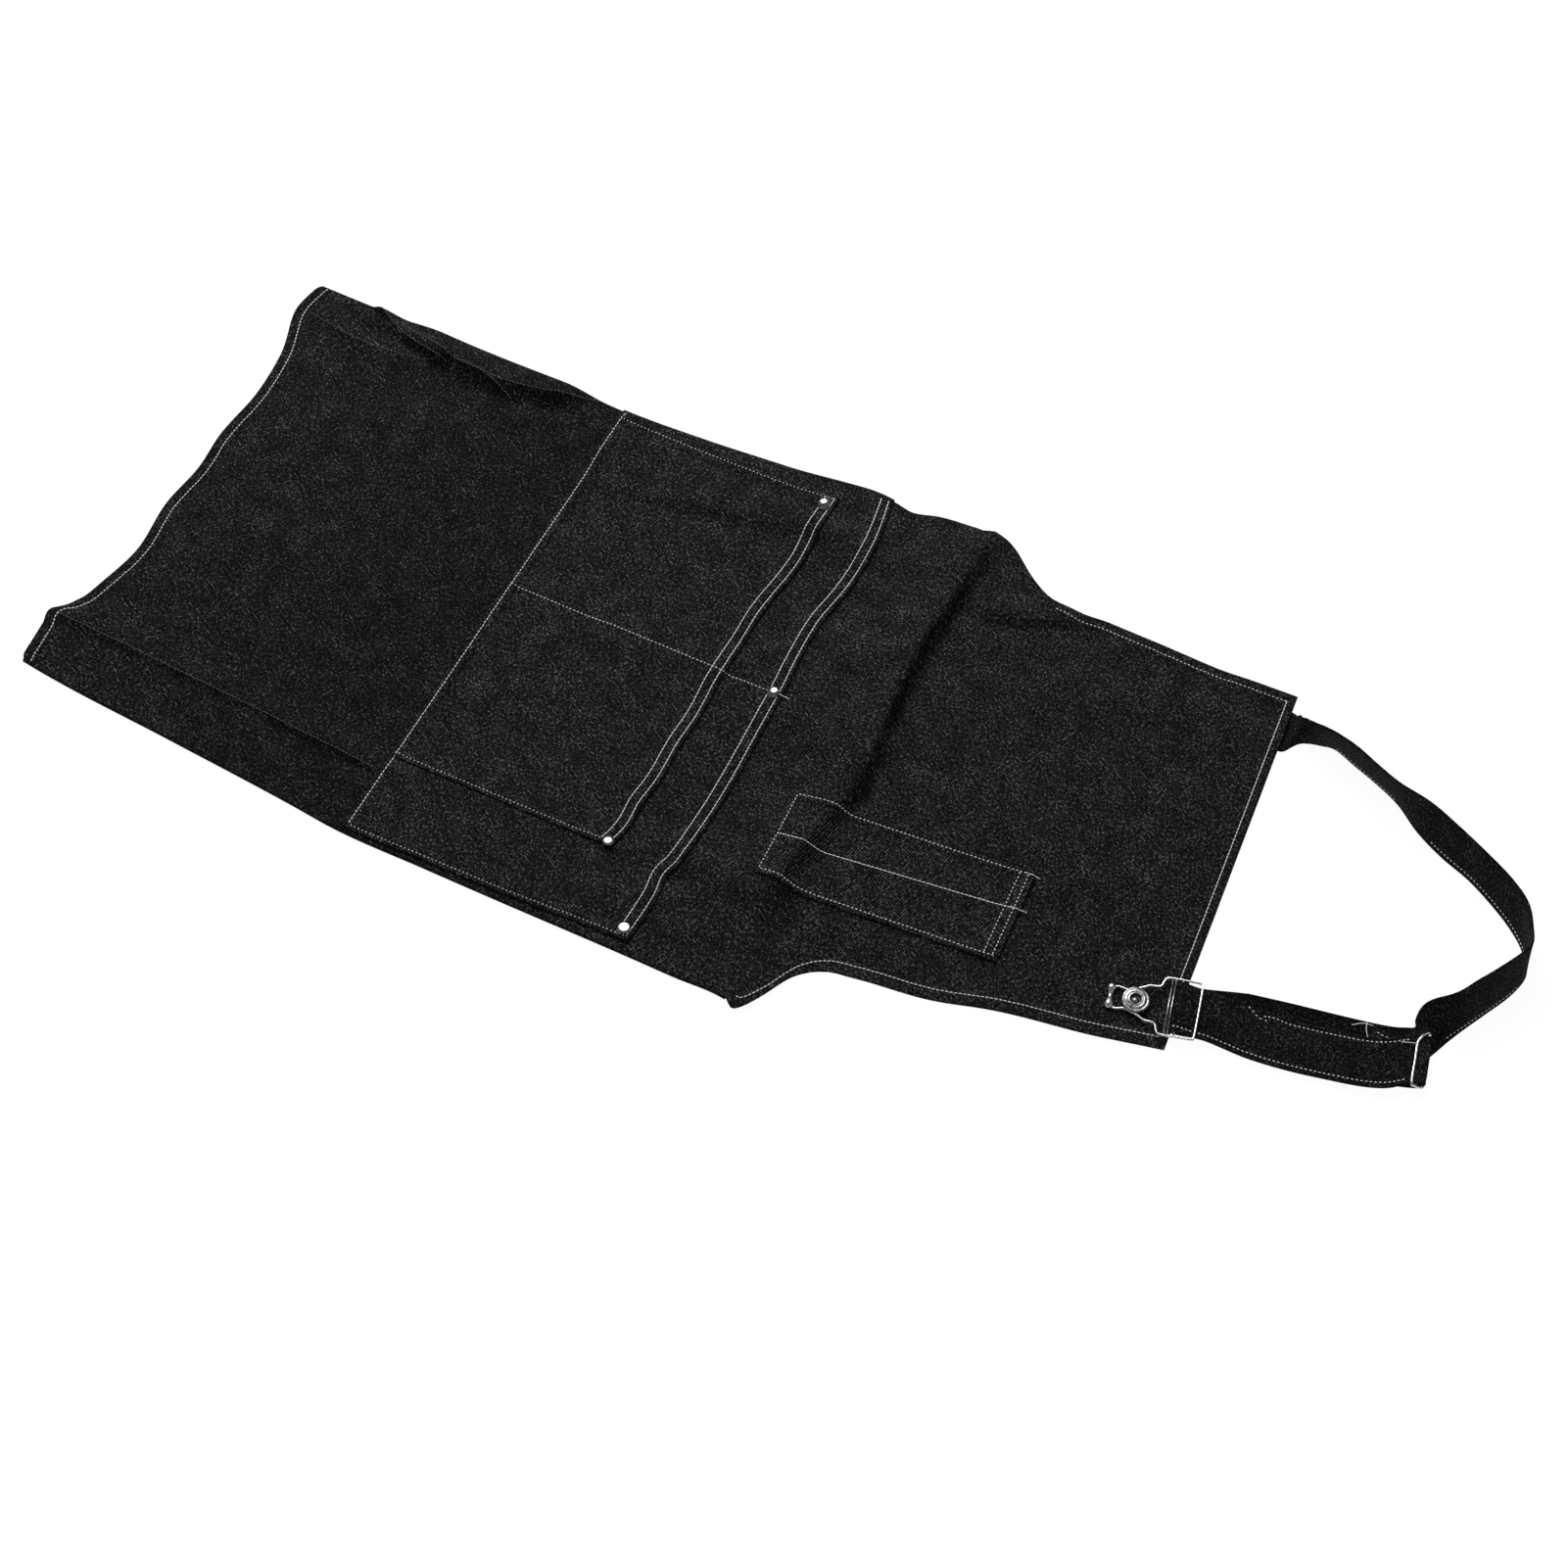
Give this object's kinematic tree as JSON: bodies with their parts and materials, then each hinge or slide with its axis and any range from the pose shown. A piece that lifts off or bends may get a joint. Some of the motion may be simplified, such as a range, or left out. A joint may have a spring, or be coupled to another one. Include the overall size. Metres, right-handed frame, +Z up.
{
  "type": "bib apron",
  "caption": "Denim bib apron laid flat with its sides folded under, patch pockets with domed rivets, and a neck strap hooked to a bib button by a wire buckle.",
  "frame": {"origin": "middle of the laid apron, on the surface that it lies on", "axes": "+X along the apron from the hem to the neck strap, +Y toward the bib corner that the strap is sewn to, +Z up, out of the front of the cloth"},
  "size_m": [1.0759, 0.4442, 0.0383],
  "materials": {
    "denim": "black twill with pale flecks",
    "cross_denim": "black twill cut across the grain",
    "strap_denim": "black twill, edge stitched",
    "nickel": "polished nickel plate"
  },
  "bodies": {
    "root": {"body_panel": "denim", "large_pocket": "denim", "small_pocket": "denim", "pen_pocket": "cross_denim", "neck_strap": "strap_denim", "rivet_small_far": "nickel", "rivet_small_near": "nickel", "rivet_large_centre": "nickel", "rivet_large_near": "nickel", "bib_button": "nickel", "bib_buckle": "nickel", "strap_slider": "nickel"}
  },
  "joints": []
}
